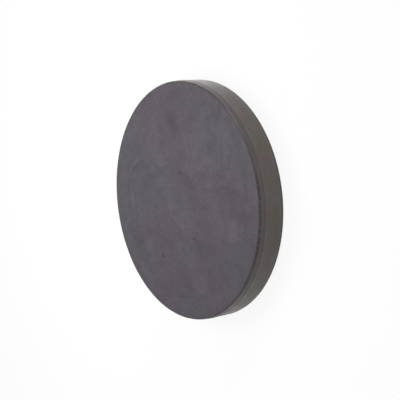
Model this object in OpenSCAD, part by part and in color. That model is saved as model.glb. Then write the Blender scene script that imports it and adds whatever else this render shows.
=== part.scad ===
// Rubber-coated pot magnet with a flush internal thread
//
// Seven disc magnets stand on one side of a round steel disc, which carries a threaded
// steel bush in its middle. Soft rubber is moulded round the lot in one piece, thin over
// the magnets and thicker behind the steel. The back lies on z = 0 and the holding face
// looks up, so every height below is counted from the back.

/* [Rubber jacket] */
// Outer diameter, over the parting ridge
jacket_d = 66; // [62:1:90]
// Rubber over the magnets, which sets the gap to the held surface
front_skin = 1.0; // [0.6:0.1:2]
// Rubber behind the steel disc
back_skin = 2.0; // [1.6:0.1:3.2]
// Rubber round the edge of the steel disc
rim_wall = 3.0; // [2:0.5:5]
// Rounding of the edge round the holding face
front_edge_r = 0.6; // [0.4:0.1:1.6]
// Rounding of the edge round the back
back_edge_r = 1.0; // [0.4:0.1:2]
// Distance of the mould's parting line behind the holding face
parting_depth = 2.1; // [2:0.1:4]
// Draft of the rim in front of the parting line, in degrees
front_draft = 1.5; // [0:0.25:3]
// Draft of the rim behind the parting line, in degrees
back_draft = 1.0; // [0:0.25:3]
// Height of the trimmed ridge that the parting line leaves
ridge_h = 0.05; // [0.02:0.01:0.15]
// Width of that ridge
ridge_w = 0.3; // [0.2:0.05:0.6]

/* [Steel disc] */
// Thickness of the steel disc that joins the magnets' fields
plate_t = 2.5; // [1.5:0.1:4]
// Bevel along both edges of the steel disc
plate_bevel = 0.3; // [0.1:0.1:0.6]

/* [Disc magnets] */
// Diameter of each magnet
magnet_d = 15; // [10:0.5:16]
// Thickness of each magnet
magnet_t = 3; // [2:0.5:5]
// Bevel along both edges of each magnet
magnet_bevel = 0.25; // [0.1:0.05:0.5]
// How many magnets stand in the ring round the middle one
ring_count = 6; // [3:1:6]
// Steel left free outside the ring of magnets
ring_margin = 3; // [1:0.5:4]

/* [Thread bush] */
// Nominal diameter of the metric thread
thread_d = 5; // [4:1:6]
// Pitch of the thread
thread_pitch = 0.8; // [0.7:0.05:1]
// Diameter of the bush's head, which lies in the back skin
bush_head_d = 10; // [9:0.5:13]
// Diameter of the bush's shank, which is pressed through the steel disc
bush_shank_d = 7.5; // [7:0.25:8.5]
// How far the bush's end lies below the rubber
bush_recess = 0.2; // [0:0.05:0.5]
// Width of the shank's flared end, which fills the bevelled hole in the steel disc
flare_w = 0.6; // [0.3:0.1:1]
// Lead-in bevel at the thread's mouth
mouth_bevel = 0.5; // [0.2:0.1:0.6]

/* [Hidden] */
// Heights of the faces that lie on each other
steel_z = back_skin;
magnets_z = steel_z + plate_t;
skin_z = magnets_z + magnet_t;
disc_h = skin_z + front_skin;
parting_z = disc_h - parting_depth;
bush_z = bush_recess;

// Diameters that follow from the ones above
plate_d = jacket_d - 2 * rim_wall;
ring_r = plate_d / 2 - ring_margin - magnet_d / 2;
rim_r = jacket_d / 2 - ridge_h;
// Core of an internal metric thread: the nominal diameter less 1.0825 pitches
thread_core_d = thread_d - 1.0825 * thread_pitch;

// How far a cutting shape runs past the face that it opens
cut = 1;
$fn = 96;

rubber_colour = [0.37, 0.345, 0.365];
steel_colour = [0.66, 0.67, 0.69];
nickel_colour = [0.80, 0.80, 0.78];

// A round disc standing on z = 0 with the same bevel along both edges
module bevelled_disc(d, h, bevel) {
    rotate_extrude()
        polygon([
            [0, 0],
            [d / 2 - bevel, 0],
            [d / 2, bevel],
            [d / 2, h - bevel],
            [d / 2 - bevel, h],
            [0, h],
        ]);
}

// Half section of one mould half: a disc of height h whose side leans in by the draft
// on the way up, with its top edge rounded. The rounding touches the top and the side.
module drafted_half(r, h, draft, edge_r) {
    arc_z = h - edge_r;
    arc_x = r - arc_z * tan(draft) - edge_r / cos(draft);
    touch = [arc_x + edge_r * cos(draft), arc_z + edge_r * sin(draft)];
    polygon([[0, 0], [r, 0], touch, [arc_x, arc_z], [arc_x, h], [0, h]]);
    translate([arc_x, arc_z])
        circle(r = edge_r);
}

// Outline of the whole jacket: two mould halves that meet at the trimmed parting ridge
module jacket_body() {
    rotate_extrude()
        intersection() {
            union() {
                translate([0, parting_z])
                    drafted_half(rim_r, disc_h - parting_z, front_draft, front_edge_r);
                translate([0, parting_z])
                    mirror([0, 1])
                        drafted_half(rim_r, parting_z, back_draft, back_edge_r);
                translate([0, parting_z])
                    polygon([
                        [0, -ridge_w / 2],
                        [rim_r - ridge_h, -ridge_w / 2],
                        [rim_r + ridge_h, 0],
                        [rim_r - ridge_h, ridge_w / 2],
                        [0, ridge_w / 2],
                    ]);
            }
            square([jacket_d, disc_h]);
        }
}

// Outline of the bush without its thread: head, shank and the flared end
module bush_body(head_z) {
    shank_r = bush_shank_d / 2;
    rotate_extrude()
        polygon([
            [0, head_z],
            [bush_head_d / 2, head_z],
            [bush_head_d / 2, steel_z],
            [shank_r, steel_z],
            [shank_r, magnets_z - flare_w],
            [shank_r + flare_w, magnets_z],
            [0, magnets_z],
        ]);
}

module at_ring_place(i) {
    rotate(i * 360 / ring_count)
        translate([ring_r, 0, magnets_z])
            children();
}

module magnet_body() {
    bevelled_disc(magnet_d, magnet_t, magnet_bevel);
}

module rubber_jacket() {
    color(rubber_colour)
        difference() {
            jacket_body();
            translate([0, 0, steel_z])
                bevelled_disc(plate_d, plate_t, plate_bevel);
            translate([0, 0, magnets_z])
                magnet_body();
            for (i = [1:ring_count])
                at_ring_place(i)
                    magnet_body();
            translate([0, 0, -cut])
                cylinder(d = bush_head_d, h = steel_z + 2 * cut);
        }
}

module steel_disc() {
    color(steel_colour)
        difference() {
            translate([0, 0, steel_z])
                bevelled_disc(plate_d, plate_t, plate_bevel);
            bush_body(steel_z);
        }
}

module thread_bush() {
    color(nickel_colour)
        difference() {
            bush_body(bush_z);
            translate([0, 0, bush_z - cut])
                cylinder(d = thread_core_d, h = magnets_z - bush_z + 2 * cut);
            translate([0, 0, bush_z])
                cylinder(
                    d1 = thread_core_d + 2 * mouth_bevel,
                    d2 = thread_core_d,
                    h = mouth_bevel
                );
        }
}

module middle_magnet() {
    color(nickel_colour)
        translate([0, 0, magnets_z])
            magnet_body();
}

module ring_magnet(i) {
    color(nickel_colour)
        at_ring_place(i)
            magnet_body();
}

rubber_jacket();
steel_disc();
thread_bush();
middle_magnet();
for (i = [1:ring_count])
    ring_magnet(i);
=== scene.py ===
import math

import bmesh
import bpy
from mathutils import Matrix, Vector, noise
from mathutils.geometry import intersect_point_line


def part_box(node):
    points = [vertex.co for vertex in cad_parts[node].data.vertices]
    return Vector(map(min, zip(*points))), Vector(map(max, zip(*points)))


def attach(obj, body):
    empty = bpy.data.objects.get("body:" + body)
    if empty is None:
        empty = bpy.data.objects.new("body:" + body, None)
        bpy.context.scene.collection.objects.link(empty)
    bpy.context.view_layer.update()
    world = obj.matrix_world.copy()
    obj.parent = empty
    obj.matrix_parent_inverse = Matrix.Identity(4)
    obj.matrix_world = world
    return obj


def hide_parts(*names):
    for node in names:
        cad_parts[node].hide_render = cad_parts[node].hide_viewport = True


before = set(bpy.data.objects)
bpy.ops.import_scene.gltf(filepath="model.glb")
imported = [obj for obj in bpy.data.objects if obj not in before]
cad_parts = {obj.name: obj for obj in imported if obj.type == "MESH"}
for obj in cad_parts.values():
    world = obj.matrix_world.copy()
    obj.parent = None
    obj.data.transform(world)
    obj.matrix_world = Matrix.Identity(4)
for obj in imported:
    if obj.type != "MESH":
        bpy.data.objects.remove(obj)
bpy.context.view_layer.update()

# ---------------------------------------------------------------- sizes
MM = 0.001

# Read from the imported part
JACKET_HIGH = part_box("rubber_jacket")[1]
RIDGE_R = JACKET_HIGH.x
HEIGHT = JACKET_HIGH.z
BUSH_LOW, BUSH_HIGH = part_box("thread_bush")
STEEL_LOW, STEEL_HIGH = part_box("steel_disc")
MAGNET_NODES = [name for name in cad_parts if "magnet" in name]
MAGNET_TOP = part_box("middle_magnet")[1]

# Jacket: the same edges, drafts and parting ridge as the part
FRONT_EDGE_R = 0.6 * MM
BACK_EDGE_R = 1.0 * MM
PARTING_DEPTH = 2.1 * MM
FRONT_DRAFT = math.radians(1.5)
BACK_DRAFT = math.radians(1.0)
RIDGE_H = 0.05 * MM
RIDGE_W = 0.3 * MM
PARTING_Z = HEIGHT - PARTING_DEPTH

# How finely the jacket's mesh is divided, and where its face begins and its back ends
JACKET_SEGMENTS = 440
FACE_STEPS = 100
ROUND_STEPS = 9
FRONT_BAND_STEPS = 5
RIDGE_STEPS = 3
BACK_BAND_STEPS = 12
BACK_STEPS = 30
FACE_START_R = 0.4 * MM
BACK_END_R = 5.6 * MM
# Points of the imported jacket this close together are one, and this close to a face lie on it
WELD_GAP = 0.001 * MM
ON_FACE_GAP = 0.01 * MM

# Relief of the holding face: the thin skin has sunk a little over each magnet, in a
# shallow dish. Each has its own depth, and a share of its radius that stays flat.
DISHES = {
    "middle_magnet": (0.36 * MM, 0.1),
    "ring_magnet_1": (0.28 * MM, 0.2),
    "ring_magnet_2": (0.38 * MM, 0.1),
    "ring_magnet_3": (0.18 * MM, 0.6),
    "ring_magnet_4": (0.28 * MM, 0.2),
    "ring_magnet_5": (0.30 * MM, 0.1),
    "ring_magnet_6": (0.40 * MM, 0.1),
}
DISH_R = 7.6 * MM
# Gentle unevenness of the whole skin
SWELL = 0.05 * MM
SWELL_SIZE = 5 * MM
# Small hollows in the skin, in millimetres: place, radius and depth
DIMPLES = [
    (-8.9, -17.4, 1.3, 0.05),
    (10.3, 15.6, 2.2, 0.05),
    (9.1, -16.4, 1.0, 0.03),
    (-18.1, 2.7, 1.8, 0.04),
    (-7.7, 20.1, 2.4, 0.04),
    (18.1, -1.6, 0.8, 0.03),
]
# Thin folds in the skin, in millimetres: height, and the corners of the way along each
# one. On the left hand of that way a fold ends sooner, and so is steeper, than on the right.
LEFT_FLANK = 0.9
RIGHT_FLANK = 2.5
FOLDS = [
    (0.22, [(-18.2, 8.9), (-20.5, 8.4), (-22.8, 7.2), (-25.0, 4.5), (-25.6, 1.1),
            (-24.9, -3.1), (-23.2, -7.8), (-21.0, -11.0)]),
    (0.22, [(-15.5, 9.5), (-13.2, 8.8), (-10.4, 8.4), (-7.9, 9.3), (-3.8, 11.6)]),
    (0.12, [(19.0, 11.2), (17.1, 14.5), (16.5, 17.1), (16.2, 19.5)]),
]
# The skin lies lower than the folds, and rises again into a low lip round the face
FOLD_ROOM = 0.22 * MM
LIP_START = 27.2 * MM
LIP_END = 31.8 * MM
# Nicks and waves along the trimmed front edge; a nick begins where its noise passes the limit
NICK_LIMIT = 0.25
NICK_DEPTH = 0.14 * MM
NICK_LENGTH = 1.3 * MM
WAVE_DEPTH = 0.03 * MM
WAVE_LENGTH = 9 * MM

# Soft stains on the holding face, in millimetres and shares of lightness: place, radius,
# and how much lighter or darker the rubber is there
STAINS = [
    (-1.5, 10.5, 4.5, -0.12),
    (-6.0, 21.5, 5.0, -0.14),
    (1.0, 5.0, 3.5, -0.08),
    (26.0, 0.0, 3.5, -0.08),
    (29.0, -6.0, 4.5, -0.10),
    (26.0, -13.0, 5.0, -0.06),
    (-20.5, -14.0, 5.0, -0.14),
    (6.0, -29.5, 3.5, -0.06),
    (-18.0, 2.5, 4.0, -0.06),
    (10.5, 15.5, 3.0, -0.12),
    (-9.5, -19.5, 3.5, -0.08),
    (17.5, 21.5, 5.0, 0.12),
    (21.0, -3.5, 4.0, 0.16),
    (15.0, 2.5, 3.5, 0.09),
    (-15.5, -15.0, 3.5, 0.14),
    (4.0, -15.5, 3.5, 0.14),
    (9.5, -21.5, 4.0, 0.06),
    (-13.0, 8.5, 3.5, 0.08),
    (29.5, 7.5, 3.5, 0.08),
    (-25.0, 16.0, 4.0, 0.10),
    (5.0, 15.5, 3.5, 0.08),
]
# Dark specks pressed into the holding face: place, radius and strength
SPECKS = [
    (-9.0, -17.5, 1.1, 0.8),
    (5.5, -9.5, 0.8, 0.7),
    (18.0, -1.5, 0.6, 0.7),
    (-1.5, 7.5, 0.8, 0.4),
    (1.0, -6.0, 0.5, 0.4),
    (-11.0, -29.0, 0.7, 0.5),
    (-20.5, -23.0, 0.7, 0.5),
    (25.5, -0.5, 0.6, 0.4),
]

# Thread bush: head, shank and flare as on the part, and the cut thread. The core of an
# internal metric thread is the nominal radius less 0.54125 pitches.
HEAD_R = BUSH_HIGH.x
HEAD_BEVEL = 0.12 * MM
SHANK_R = 3.75 * MM
FLARE_W = 0.6 * MM
THREAD_PITCH = 0.8 * MM
THREAD_R = 2.5 * MM
CORE_R = THREAD_R - 0.54125 * THREAD_PITCH
THREAD_HALF_ANGLE = math.radians(30)
MOUTH_BEVEL = 0.5 * MM
BUSH_SEGMENTS = 96
THREAD_STEPS = 72

# Camera: fitted to the photograph's outline, looking at the middle of the disc
PHOTO_SIZE = 400
CAMERA_AZIMUTH = math.radians(14.41)
CAMERA_ELEVATION = math.radians(36.63)
CAMERA_DISTANCE = 330 * MM
CAMERA_ROLL = math.radians(-97.36)
CAMERA_LENS = 107.4
CAMERA_SENSOR = 36.0
CAMERA_NEAR = 10 * MM
DISC_OFFSET_PX = (-5.57, 0.61)

ROOT = "root"


# ---------------------------------------------------------------- mesh helpers
def smoothstep(low, high, value):
    """0 below low, 1 above high, and an even slope between them."""
    share = min(max((value - low) / (high - low), 0.0), 1.0)
    return share * share * (3 - 2 * share)


def polar(radius, angle):
    return Vector((radius * math.cos(angle), radius * math.sin(angle)))


def run(start, end, steps, zone):
    """Points of a straight stretch of a half outline, its end left to the next stretch."""
    start, end = Vector(start), Vector(end)
    along = (end - start).normalized()
    normal = Vector((-along.y, along.x))
    return [(start.lerp(end, i / steps), normal, zone) for i in range(steps)]


def arc(centre, radius, first, last, steps, zone):
    """Points of a round stretch of a half outline, between two angles from the +r axis."""
    points = []
    for i in range(steps):
        angle = first + (last - first) * i / steps
        normal = polar(1, angle)
        points.append((Vector(centre) + normal * radius, normal, zone))
    return points


def revolve(mesh, rows, segments):
    """Adds rows of vertices, each a function of the angle, and the quads between them."""
    rings = []
    for row in rows:
        ring = []
        for i in range(segments):
            angle = 2 * math.pi * i / segments
            radius, height = row(angle)
            ring.append(mesh.verts.new((*polar(radius, angle), height)))
        rings.append(ring)
    for ring, following in zip(rings, rings[1:]):
        join_rings(mesh, ring, following)
    return rings


def join_rings(mesh, ring, following):
    for i, corner in enumerate(ring):
        after = (i + 1) % len(ring)
        mesh.faces.new((corner, following[i], following[after], ring[after]))


def fixed_rows(points):
    """Rows for revolve that have the same radius and height all the way round."""
    return [lambda angle, point=point: point for point in points]


def to_object(mesh, name, material):
    """Turns a bmesh into a smooth-shaded object in the row frame."""
    bmesh.ops.recalc_face_normals(mesh, faces=mesh.faces)
    for face in mesh.faces:
        face.smooth = True
    data = bpy.data.meshes.new(name)
    mesh.to_mesh(data)
    mesh.free()
    data.materials.append(material)
    made = bpy.data.objects.new(name, data)
    bpy.context.scene.collection.objects.link(made)
    return made


def sharpen(made, degrees):
    """Keeps edges steeper than the angle crisp under smooth shading."""
    made.data.set_sharp_from_angle(angle=math.radians(degrees))


# ---------------------------------------------------------------- the jacket
def magnet_dishes():
    """Centre, depth and flat share of the dish over each magnet."""
    dishes = []
    for name in MAGNET_NODES:
        low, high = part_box(name)
        dishes.append(((low + high) / 2, *DISHES[name]))
    return dishes


def dish_depth(x, y, dishes):
    """How far the skin has sunk here, from the dish that sinks it most."""
    deepest = 0.0
    for centre, depth, flat in dishes:
        away = math.hypot(x - centre.x, y - centre.y) / DISH_R
        rise = min(max(away - flat, 0.0) / (1 - flat), 1.0)
        deepest = max(deepest, depth * (1 - rise ** 2))
    return deepest


def dimple_depth(x, y):
    """How deep the small hollows near the middle of the dishes are here."""
    depth = 0.0
    for dimple_x, dimple_y, radius, deepest in DIMPLES:
        away = math.hypot(x / MM - dimple_x, y / MM - dimple_y)
        depth += deepest * MM * (1 - smoothstep(0, radius, away))
    return depth


def nearest_on(corners, point):
    """Distance to a way, the share of the way gone there, and whether point is on its left."""
    nearest = (math.inf, 0.0, False)
    for number, (start, end) in enumerate(zip(corners, corners[1:])):
        share = intersect_point_line(point, start, end)[1]
        share = min(max(share, 0.0), 1.0)
        away = point - Vector(start).lerp(Vector(end), share)
        on_left = (Vector(end) - Vector(start)).cross(away) > 0
        if away.length < nearest[0]:
            nearest = (away.length, (number + share) / (len(corners) - 1), on_left)
    return nearest


def fold_height(x, y):
    """How high the thin folds stand here; each one fades out towards its ends."""
    height = 0.0
    for crest, corners in FOLDS:
        away, gone, on_left = nearest_on(corners, Vector((x, y)) / MM)
        flank = max(1 - away / (LEFT_FLANK if on_left else RIGHT_FLANK), 0.0)
        fade = math.sqrt(math.sin(math.pi * gone))
        height = max(height, crest * MM * fade * flank ** 2)
    return height


def face_height(x, y, dishes):
    """Height of the holding face above its nominal plane; never more than 0."""
    swell = SWELL * (noise.noise(Vector((x, y, 0)) / SWELL_SIZE) - 1) / 2
    room = FOLD_ROOM * (1 - smoothstep(LIP_START, LIP_END, math.hypot(x, y)))
    sunk = dish_depth(x, y, dishes) + dimple_depth(x, y) + room
    return swell + fold_height(x, y) - sunk


def edge_nick(angle, height):
    """Depth of the small nicks and waves that the trimmed front edge carries."""
    place = Vector((*polar(RIDGE_R, angle), height))
    nick = max(noise.noise(place / NICK_LENGTH) - NICK_LIMIT, 0.0)
    wave = noise.noise(place / WAVE_LENGTH) + 1
    return NICK_DEPTH * nick + WAVE_DEPTH * wave / 2


def edge_centre_r(rim_r, height, draft, edge_r):
    """Radius at which the centre of a rounded edge lies, at a height from the parting line."""
    return rim_r - height * math.tan(draft) - edge_r / math.cos(draft)


def jacket_outline():
    """Half outline from the middle of the holding face round to the back's hole."""
    rim_r = RIDGE_R - RIDGE_H
    front_z = HEIGHT - FRONT_EDGE_R
    front_r = edge_centre_r(rim_r, front_z - PARTING_Z, FRONT_DRAFT, FRONT_EDGE_R)
    front_touch = Vector((front_r, front_z)) + polar(FRONT_EDGE_R, FRONT_DRAFT)
    back_z = BACK_EDGE_R
    back_r = edge_centre_r(rim_r, PARTING_Z - back_z, BACK_DRAFT, BACK_EDGE_R)
    back_touch = Vector((back_r, back_z)) + polar(BACK_EDGE_R, -BACK_DRAFT)
    above = (rim_r, PARTING_Z + RIDGE_W / 2)
    ridge = (RIDGE_R, PARTING_Z)
    below = (rim_r, PARTING_Z - RIDGE_W / 2)
    up, down = math.pi / 2, -math.pi / 2
    outline = run((FACE_START_R, HEIGHT), (front_r, HEIGHT), FACE_STEPS, "face")
    outline += arc((front_r, front_z), FRONT_EDGE_R, up, FRONT_DRAFT, ROUND_STEPS, "front_edge")
    outline += run(front_touch, above, FRONT_BAND_STEPS, "front_band")
    outline += run(above, ridge, RIDGE_STEPS, "ridge")
    outline += run(ridge, below, RIDGE_STEPS, "ridge")
    outline += run(below, back_touch, BACK_BAND_STEPS, "back_band")
    outline += arc((back_r, back_z), BACK_EDGE_R, -BACK_DRAFT, down, ROUND_STEPS, "back_edge")
    outline += run((back_r, 0), (BACK_END_R, 0), BACK_STEPS, "back")
    outline += [(Vector((BACK_END_R, 0)), Vector((0, -1)), "back")]
    return outline


def jacket_row(point, normal, zone, dishes):
    """One ring of the jacket: a function that gives radius and height at an angle."""
    def place(angle):
        x, y = polar(point.x, angle)
        rise = 0.0
        if zone == "face":
            rise = face_height(x, y, dishes)
        if zone == "front_edge":
            from_face = face_height(x, y, dishes) * normal.y ** 2
            rise = from_face - edge_nick(angle, point.y) * (1 - normal.y ** 4)
        if zone == "front_band":
            fade = smoothstep(PARTING_Z, HEIGHT - FRONT_EDGE_R, point.y)
            rise = -edge_nick(angle, point.y) * fade
        moved = point + normal * rise
        return moved.x, moved.y
    return place


def cavity_faces(mesh):
    """Copies the walls round the magnets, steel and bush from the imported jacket."""
    source = bmesh.new()
    source.from_mesh(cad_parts["rubber_jacket"].data)
    bmesh.ops.remove_doubles(source, verts=source.verts, dist=WELD_GAP)
    limit_r = STEEL_HIGH.x + ON_FACE_GAP
    copies = {}
    for face in source.faces:
        inside = all(math.hypot(v.co.x, v.co.y) < limit_r for v in face.verts)
        on_skin = all(v.co.z < ON_FACE_GAP for v in face.verts)
        above = all(v.co.z > MAGNET_TOP.z + ON_FACE_GAP for v in face.verts)
        if not inside or on_skin or above:
            continue
        corners = []
        for v in face.verts:
            if v.index not in copies:
                copies[v.index] = mesh.verts.new(v.co)
            corners.append(copies[v.index])
        mesh.faces.new(corners)
    source.free()


def make_jacket(material):
    """The uneven skin outside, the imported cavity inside, and a flat ring that joins them."""
    mesh = bmesh.new()
    dishes = magnet_dishes()
    rows = [jacket_row(*point, dishes) for point in jacket_outline()]
    innermost = revolve(mesh, rows, JACKET_SEGMENTS)[0]
    middle = mesh.verts.new((0, 0, HEIGHT + face_height(0, 0, dishes)))
    for i, corner in enumerate(innermost):
        mesh.faces.new((corner, innermost[(i + 1) % JACKET_SEGMENTS], middle))
    cavity_faces(mesh)
    open_edges = [edge for edge in mesh.edges if edge.is_boundary]
    bmesh.ops.triangle_fill(mesh, edges=open_edges, use_beauty=True)
    jacket = to_object(mesh, "moulded_jacket", material)
    sharpen(jacket, degrees=35)
    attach(jacket, ROOT)
    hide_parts("rubber_jacket")
    return jacket


# ---------------------------------------------------------------- the thread bush
def thread_radius(angle, height):
    """Wall of the hole: a 60 degree metric thread that opens into the mouth's bevel."""
    turn = height / THREAD_PITCH - angle / (2 * math.pi)
    from_root = abs(turn - math.floor(turn) - 0.5) * THREAD_PITCH
    half_flat = THREAD_PITCH / 16
    groove = THREAD_R - max(from_root - half_flat, 0.0) / math.tan(THREAD_HALF_ANGLE)
    mouth = CORE_R + MOUTH_BEVEL - (height - BUSH_LOW.z)
    return max(groove, CORE_R, mouth)


def make_bush(material):
    """The outside from the flare down to the head, then the threaded hole back up."""
    mesh = bmesh.new()
    low, high = BUSH_LOW.z, BUSH_HIGH.z
    shoulder = STEEL_LOW.z
    outside = [
        (SHANK_R + FLARE_W, high),
        (SHANK_R, high - FLARE_W),
        (SHANK_R, shoulder),
        (HEAD_R, shoulder),
        (HEAD_R, low + HEAD_BEVEL),
        (HEAD_R - HEAD_BEVEL, low),
    ]
    hole = [low + (high - low) * i / THREAD_STEPS for i in range(THREAD_STEPS + 1)]
    rows = fixed_rows(outside)
    rows += [lambda angle, z=z: (thread_radius(angle, z), z) for z in hole]
    rings = revolve(mesh, rows, BUSH_SEGMENTS)
    join_rings(mesh, rings[-1], rings[0])
    bush = to_object(mesh, "threaded_bush", material)
    sharpen(bush, degrees=30)
    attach(bush, ROOT)
    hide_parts("thread_bush")
    return bush


# ---------------------------------------------------------------- materials
class Nodes:
    """Short names for the few shader nodes that the materials are built from."""

    def __init__(self, name):
        self.material = bpy.data.materials.new(name)
        self.material.use_nodes = True
        self.tree = self.material.node_tree
        self.shader = self.tree.nodes["Principled BSDF"]
        coordinates = self.tree.nodes.new("ShaderNodeTexCoord")
        self.place = coordinates.outputs["Object"]

    def feed(self, socket, value):
        if isinstance(value, bpy.types.NodeSocket):
            self.tree.links.new(value, socket)
        else:
            socket.default_value = value

    def math(self, operation, first, second=0.0):
        node = self.tree.nodes.new("ShaderNodeMath")
        node.operation = operation
        self.feed(node.inputs[0], first)
        self.feed(node.inputs[1], second)
        return node.outputs[0]

    def ramp(self, value, low, high, at_low=0.0, at_high=1.0):
        """Maps value from low..high to at_low..at_high, smoothly and clamped."""
        node = self.tree.nodes.new("ShaderNodeMapRange")
        node.interpolation_type = "SMOOTHSTEP"
        self.feed(node.inputs["Value"], value)
        node.inputs["From Min"].default_value = low
        node.inputs["From Max"].default_value = high
        node.inputs["To Min"].default_value = at_low
        node.inputs["To Max"].default_value = at_high
        return node.outputs[0]

    def noise(self, size, detail=2.0, roughness=0.5, stretch=(1, 1, 1), seed=0.0):
        """Noise from 0 to 1 with features about size metres across; seed shifts it."""
        mapping = self.tree.nodes.new("ShaderNodeMapping")
        self.feed(mapping.inputs["Vector"], self.place)
        mapping.inputs["Location"].default_value = (seed, seed / 2, seed / 3)
        mapping.inputs["Scale"].default_value = stretch
        node = self.tree.nodes.new("ShaderNodeTexNoise")
        self.feed(node.inputs["Vector"], mapping.outputs[0])
        node.inputs["Scale"].default_value = 1 / size
        node.inputs["Detail"].default_value = detail
        node.inputs["Roughness"].default_value = roughness
        return node.outputs["Fac"]

    def patches(self, size, low, high, at_low=0.0, at_high=1.0, **look):
        """Noise of that size and look, mapped from low..high to at_low..at_high."""
        return self.ramp(self.noise(size, **look), low, high, at_low, at_high)

    def total(self, *values):
        result = values[0]
        for value in values[1:]:
            result = self.math("ADD", result, value)
        return result

    def mix(self, factor, first, second):
        node = self.tree.nodes.new("ShaderNodeMix")
        node.data_type = "RGBA"
        self.feed(node.inputs["Factor"], factor)
        self.feed(node.inputs["A"], first)
        self.feed(node.inputs["B"], second)
        return node.outputs["Result"]

    def vector(self, operation, first, second):
        """Vector arithmetic; SCALE takes a number as second, and DISTANCE gives one."""
        node = self.tree.nodes.new("ShaderNodeVectorMath")
        node.operation = operation
        self.feed(node.inputs[0], first)
        self.feed(node.inputs[3 if operation == "SCALE" else 1], second)
        return node.outputs["Value" if operation == "DISTANCE" else "Vector"]

    def lighten(self, colour, share):
        """Scales a colour by 1 plus a share, which is negative where it gets darker."""
        return self.vector("SCALE", colour, self.math("ADD", share, 1.0))

    def uneven_place(self, size, reach):
        """The place pushed about by noise, so that round marks lose their outline."""
        node = self.tree.nodes.new("ShaderNodeTexNoise")
        self.feed(node.inputs["Vector"], self.place)
        node.inputs["Scale"].default_value = 1 / size
        shift = self.vector("SUBTRACT", node.outputs["Color"], (0.5, 0.5, 0.5))
        return self.vector("ADD", self.place, self.vector("SCALE", shift, reach))

    def face_marks(self, marks, place, core):
        """Sum of round marks on the face, each full over the core share of its radius."""
        spots = []
        for x, y, radius, strength in marks:
            away = self.vector("DISTANCE", place, (x * MM, y * MM, HEIGHT))
            spots.append(self.ramp(away, core * radius * MM, radius * MM, strength, 0.0))
        return self.total(*spots)

    def measures(self):
        """Distance from the disc's axis, x, y and the height above the floor, in metres."""
        split = self.tree.nodes.new("ShaderNodeSeparateXYZ")
        self.feed(split.inputs[0], self.place)
        x, y, z = split.outputs
        squares = self.math("ADD", self.math("MULTIPLY", x, x), self.math("MULTIPLY", y, y))
        return self.math("SQRT", squares), x, y, z

    def line(self, value, middle, half_width, strength):
        """A soft line of the given strength where value is near middle."""
        away = self.math("ABSOLUTE", self.math("SUBTRACT", value, middle))
        return self.ramp(away, 0.0, half_width, strength, 0.0)

    def bump(self, height, depth, strength=1.0):
        node = self.tree.nodes.new("ShaderNodeBump")
        node.inputs["Strength"].default_value = strength
        node.inputs["Distance"].default_value = depth
        self.feed(node.inputs["Height"], height)
        self.feed(self.shader.inputs["Normal"], node.outputs[0])


def srgb(red, green, blue):
    """A colour given as 0 to 255 screen values, as the linear one that shaders take."""
    def linear(value):
        share = value / 255
        return share / 12.92 if share <= 0.04045 else ((share + 0.055) / 1.055) ** 2.4
    return (linear(red), linear(green), linear(blue), 1.0)


FACE_VIOLET = srgb(75, 67, 76)
FACE_GREY = srgb(74, 71, 77)
RIM_BROWN = srgb(81, 72, 69)
RIM_GREY = srgb(78, 76, 75)
RIM_OLIVE = srgb(77, 75, 64)
BAND_RED = srgb(73, 65, 67)
# Dark colour of the specks, and of the painted shade along the front and back edges
DARK_SPECK_AND_SHADE = srgb(46, 40, 43)
STEEL_GREY = srgb(176, 178, 182)
BUSH_GREY = srgb(186, 188, 190)
NICKEL_WARM = srgb(206, 203, 196)

# Height of the light line on the rim, and where the painted shade along the back edge ends
LIGHT_LINE_Z = 1.5 * MM
BACK_SHADE_Z = 1.2 * MM

FACE_ROUGHNESS = (0.50, 0.62)
RIM_ROUGHNESS = (0.36, 0.48)
RUBBER_SPECULAR = 0.3
RUBBER_GRAIN_DEPTH = 0.03 * MM
METAL_MARK_DEPTH = 0.01 * MM
DULL_METAL_SHARE = 0.82
ROUGHNESS_SPREAD = 0.08


def face_colour(m, radius, x, height):
    """Grey-violet clouds, soft stains, a fine mottle, a painted highlight on the fold crests and
    dark specks.
    """
    clouds = m.patches(18 * MM, 0.36, 0.64, seed=3.0)
    greyer_side = m.ramp(x, -30 * MM, -10 * MM, 0.9, 0.0)
    colour = m.mix(m.math("MAXIMUM", clouds, greyer_side), FACE_VIOLET, FACE_GREY)
    blotches = m.patches(3 * MM, 0.3, 0.7, -0.08, 0.08, detail=4.0, roughness=0.6, seed=7.0)
    mottle = m.patches(0.5 * MM, 0.3, 0.7, -0.12, 0.12, roughness=0.7)
    stains = m.face_marks(STAINS, m.uneven_place(4 * MM, 3 * MM), 0.2)
    # Painted highlight: the crests of the folds are made lighter, as if lit
    raised = m.ramp(height, HEIGHT - 0.16 * MM, HEIGHT - 0.04 * MM, 0.0, 0.25)
    inside_lip = m.ramp(radius, LIP_START - 1 * MM, LIP_START, 1.0, 0.0)
    fold_painted_highlight = m.math("MULTIPLY", raised, inside_lip)
    share = m.total(blotches, mottle, stains, fold_painted_highlight)
    specks = m.face_marks(SPECKS, m.uneven_place(1 * MM, 0.6 * MM), 0.4)
    return m.mix(specks, m.lighten(colour, share), DARK_SPECK_AND_SHADE)


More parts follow.
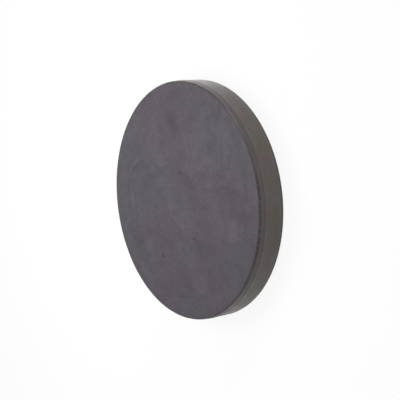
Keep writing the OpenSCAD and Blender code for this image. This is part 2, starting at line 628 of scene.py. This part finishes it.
def rim_colour(m, height):
    """Browner than the face, with patches, fine lines along it and a redder front band."""
    grey = m.patches(5 * MM, 0.38, 0.62, detail=3.0, stretch=(1, 1, 1.5), seed=5.0)
    colour = m.mix(grey, RIM_BROWN, RIM_GREY)
    olive = m.patches(6 * MM, 0.50, 0.66, 0.0, 0.7, seed=21.0)
    colour = m.mix(olive, colour, RIM_OLIVE)
    front_band = m.ramp(height, PARTING_Z - 0.05 * MM, PARTING_Z + 0.15 * MM, 0.0, 0.8)
    colour = m.mix(front_band, colour, BAND_RED)
    lines = m.patches(4 * MM, 0.3, 0.7, -0.10, 0.10, detail=3.0, stretch=(1, 1, 12), seed=17.0)
    light_line = m.line(height, LIGHT_LINE_Z, 0.5 * MM, 0.20)
    dark_line = m.line(height, PARTING_Z + 0.5 * MM, 0.2 * MM, -0.06)
    # Painted shade: the parting ridge is darkened to take away its highlight
    ridge_painted_shade = m.line(height, PARTING_Z, 0.3 * MM, -0.07)
    return m.lighten(colour, m.total(lines, light_line, dark_line, ridge_painted_shade))


def front_edge_dirt_and_shade(m, radius, x, height):
    """The broken dark line along the front edge, part dirt and part painted shade, heaviest
    towards +x and -x.
    """
    across = m.math("ABSOLUTE", x)
    # Painted shade along the front edge and the face's border, darkest towards +x and -x
    shaded_sides = m.ramp(across, 29 * MM, 33.5 * MM, 0.0, 0.80)
    on_border = m.ramp(radius, RIDGE_R - 1.2 * MM, RIDGE_R - 0.7 * MM, 0.0, 0.4)
    border = m.math("MULTIPLY", on_border, shaded_sides)
    patchy_sides = m.ramp(across, 20 * MM, 28 * MM)
    patchy = m.patches(2 * MM, 0.30, 0.65, 0.0, 0.40, detail=4.0, seed=11.0)
    dirt_and_shade = m.total(m.math("MULTIPLY", patchy, patchy_sides), shaded_sides)
    crumbs = m.patches(0.7 * MM, 0.35, 0.62, 0.3, 1.35, detail=1.0, seed=23.0)
    on_rounding = m.ramp(radius, RIDGE_R - 0.50 * MM, RIDGE_R - 0.22 * MM)
    rounding = m.math("MULTIPLY", m.math("MULTIPLY", dirt_and_shade, crumbs), on_rounding)
    near_face = m.ramp(height, HEIGHT - 0.8 * MM, HEIGHT - 0.4 * MM)
    return m.math("MULTIPLY", m.math("MAXIMUM", border, rounding), near_face)


def back_edge_painted_shade(m, radius, height):
    """Painted shade: the dark line along the back edge, low down near the floor, on the rim alone.
    """
    low_down = m.ramp(height, BACK_SHADE_Z - 0.25 * MM, BACK_SHADE_Z, 0.6, 0.0)
    on_rim = m.ramp(radius, RIDGE_R - 1.2 * MM, RIDGE_R - 1.0 * MM)
    return m.math("MULTIPLY", low_down, on_rim)


def rubber_material():
    """Matt moulded rubber: clouded grey-violet face, browner rim, and edges darkened by dirt and
    painted shade.
    """
    m = Nodes("rubber")
    radius, x, y, height = m.measures()
    on_rim = m.ramp(radius, RIDGE_R - 0.5 * MM, RIDGE_R - 0.2 * MM)
    colour = m.mix(on_rim, face_colour(m, radius, x, height), rim_colour(m, height))
    # Dirt and painted shade darken the front edge; painted shade darkens the back edge
    front_dirt_and_shade = front_edge_dirt_and_shade(m, radius, x, height)
    dirt_and_shade = m.math("MAXIMUM", front_dirt_and_shade, back_edge_painted_shade(m, radius, height))
    m.feed(m.shader.inputs["Base Color"], m.mix(dirt_and_shade, colour, DARK_SPECK_AND_SHADE))
    gloss = m.noise(3 * MM, detail=4.0, seed=8.0)
    face_rough = m.ramp(gloss, 0.3, 0.7, *FACE_ROUGHNESS)
    # The rim is rubbed smoother towards +y, and is duller towards -y
    smoother = m.ramp(y, 23 * MM, 33 * MM, 0.0, -0.20)
    duller = m.ramp(y, -32 * MM, -26 * MM, 0.08, 0.0)
    rim_rough = m.total(m.ramp(gloss, 0.3, 0.7, *RIM_ROUGHNESS), smoother, duller)
    on_face = m.math("SUBTRACT", 1.0, on_rim)
    rough = m.total(m.math("MULTIPLY", face_rough, on_face), m.math("MULTIPLY", rim_rough, on_rim))
    m.feed(m.shader.inputs["Roughness"], rough)
    m.shader.inputs["Specular IOR Level"].default_value = RUBBER_SPECULAR
    grain = m.noise(0.35 * MM, detail=3.0, roughness=0.6)
    m.bump(grain, RUBBER_GRAIN_DEPTH, 0.5)
    return m.material


def metal_material(name, colour, roughness, mark_size, stretch=(1, 1, 1)):
    """Plated metal whose colour and roughness vary along fine marks."""
    m = Nodes(name)
    marks = m.noise(mark_size, detail=4.0, roughness=0.65, stretch=stretch)
    dull = tuple(DULL_METAL_SHARE * part for part in colour[:3]) + (1.0,)
    m.feed(m.shader.inputs["Base Color"], m.mix(m.ramp(marks, 0.35, 0.65), dull, colour))
    m.shader.inputs["Metallic"].default_value = 1.0
    smooth, rough = roughness - ROUGHNESS_SPREAD, roughness + ROUGHNESS_SPREAD
    m.feed(m.shader.inputs["Roughness"], m.ramp(marks, 0.3, 0.7, smooth, rough))
    m.bump(marks, METAL_MARK_DEPTH, 0.4)
    return m.material


def dress_inner_nodes():
    """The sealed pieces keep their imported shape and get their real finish."""
    steel = metal_material("plate_steel", STEEL_GREY, 0.42, mark_size=0.8 * MM, stretch=(1, 1, 6))
    nickel = metal_material("magnet_nickel", NICKEL_WARM, 0.24, mark_size=0.5 * MM)
    inner = {"steel_disc": steel}
    inner.update({name: nickel for name in MAGNET_NODES})
    for name, material in inner.items():
        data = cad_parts[name].data
        data.materials.clear()
        data.materials.append(material)


# ---------------------------------------------------------------- stage, light and camera
# The floor turns up into a low backdrop all round. The disc hides the hole in its middle,
# through which the disc's back can be looked at from below.
FLOOR_HOLE_R = 31.8 * MM
FLOOR_R = 4.0
BACKDROP_H = 0.9
FLOOR_SEGMENTS = 96
# Share of the light that the floor gives back, and how much of what the camera sees of it
# comes from that light, which is what its shadows can take away
FLOOR_BOUNCE = 0.80
SHADOW_SHARE = 0.12
WORLD_LIGHT = 0.50
# Name, azimuth and elevation in degrees, distance and size in metres, and the irradiance
# that the lamp gives at the middle of the disc
LAMPS = [
    ("key", 169, 63, 0.135, 0.09, 1.90),
    ("top_fill", 78, 12, 0.60, 0.20, 1.50),
    ("side_fill", -12, 20, 0.60, 0.30, 0.70),
]


def seen_directly(tree):
    """1 for what the camera sees directly, in a reflection or through glass; else 0."""
    path = tree.nodes.new("ShaderNodeLightPath")
    seen = path.outputs["Is Camera Ray"]
    for name in ("Is Glossy Ray", "Is Transmission Ray"):
        either = tree.nodes.new("ShaderNodeMath")
        either.operation = "MAXIMUM"
        tree.links.new(seen, either.inputs[0])
        tree.links.new(path.outputs[name], either.inputs[1])
        seen = either.outputs[0]
    return seen


def floor_material():
    """Pale floor: seen directly it is near white but keeps shadows, and it bounces light."""
    material = bpy.data.materials.new("floor")
    material.use_nodes = True
    tree = material.node_tree
    tree.nodes.clear()
    output = tree.nodes.new("ShaderNodeOutputMaterial")
    bounce = tree.nodes.new("ShaderNodeBsdfDiffuse")
    bounce.inputs["Color"].default_value = (FLOOR_BOUNCE, FLOOR_BOUNCE, FLOOR_BOUNCE, 1)
    shown = tree.nodes.new("ShaderNodeBsdfDiffuse")
    shown.inputs["Color"].default_value = (SHADOW_SHARE, SHADOW_SHARE, SHADOW_SHARE, 1)
    glow = tree.nodes.new("ShaderNodeEmission")
    glow.inputs["Strength"].default_value = 1 - SHADOW_SHARE
    seen = tree.nodes.new("ShaderNodeAddShader")
    tree.links.new(shown.outputs[0], seen.inputs[0])
    tree.links.new(glow.outputs[0], seen.inputs[1])
    mix = tree.nodes.new("ShaderNodeMixShader")
    tree.links.new(seen_directly(tree), mix.inputs[0])
    tree.links.new(bounce.outputs[0], mix.inputs[1])
    tree.links.new(seen.outputs[0], mix.inputs[2])
    tree.links.new(mix.outputs[0], output.inputs["Surface"])
    return material


def make_floor():
    """A ring that reaches from under the disc far out, with its outer edge turned up."""
    mesh = bmesh.new()
    outline = [(FLOOR_HOLE_R, 0.0), (FLOOR_R, 0.0), (FLOOR_R, BACKDROP_H)]
    revolve(mesh, fixed_rows(outline), FLOOR_SEGMENTS)
    floor = to_object(mesh, "floor", floor_material())


def direction(azimuth, elevation):
    """Unit vector towards a place that is seen at those angles, in radians."""
    return Vector((*polar(math.cos(elevation), azimuth), math.sin(elevation)))


def add_lamp(name, azimuth, elevation, distance, size, irradiance):
    """A square soft light aimed at the disc."""
    data = bpy.data.lights.new(name, "AREA")
    data.shape = "SQUARE"
    data.size = size
    data.energy = irradiance * math.pi * distance ** 2
    towards = direction(math.radians(azimuth), math.radians(elevation))
    lamp = bpy.data.objects.new(name, data)
    lamp.location = towards * distance
    lamp.rotation_euler = towards.to_track_quat("Z", "Y").to_euler()
    bpy.context.scene.collection.objects.link(lamp)


def make_light():
    world = bpy.data.worlds.new("studio")
    world.use_nodes = True
    background = world.node_tree.nodes["Background"]
    background.inputs["Color"].default_value = (1, 1, 1, 1)
    background.inputs["Strength"].default_value = WORLD_LIGHT
    bpy.context.scene.world = world
    for lamp in LAMPS:
        add_lamp(*lamp)
    bpy.context.scene.view_settings.view_transform = "Standard"


def make_camera():
    """Aims at the middle of the disc; the shift puts that point where the photo has it."""
    data = bpy.data.cameras.new("camera")
    data.lens = CAMERA_LENS
    data.sensor_width = CAMERA_SENSOR
    data.shift_x = -DISC_OFFSET_PX[0] / PHOTO_SIZE
    data.shift_y = -DISC_OFFSET_PX[1] / PHOTO_SIZE
    data.clip_start = CAMERA_NEAR
    camera = bpy.data.objects.new("camera", data)
    towards = direction(CAMERA_AZIMUTH, CAMERA_ELEVATION)
    aim = towards.to_track_quat("Z", "Y").to_matrix().to_4x4()
    middle = Vector((0, 0, HEIGHT / 2))
    roll = Matrix.Rotation(CAMERA_ROLL, 4, "Z")
    camera.matrix_world = Matrix.Translation(middle + towards * CAMERA_DISTANCE) @ aim @ roll
    bpy.context.scene.collection.objects.link(camera)
    bpy.context.scene.camera = camera


# ---------------------------------------------------------------- build
make_camera()
make_jacket(rubber_material())
make_bush(metal_material("bush_steel", BUSH_GREY, 0.34, mark_size=0.4 * MM, stretch=(1, 1, 4)))
dress_inner_nodes()
make_floor()
make_light()
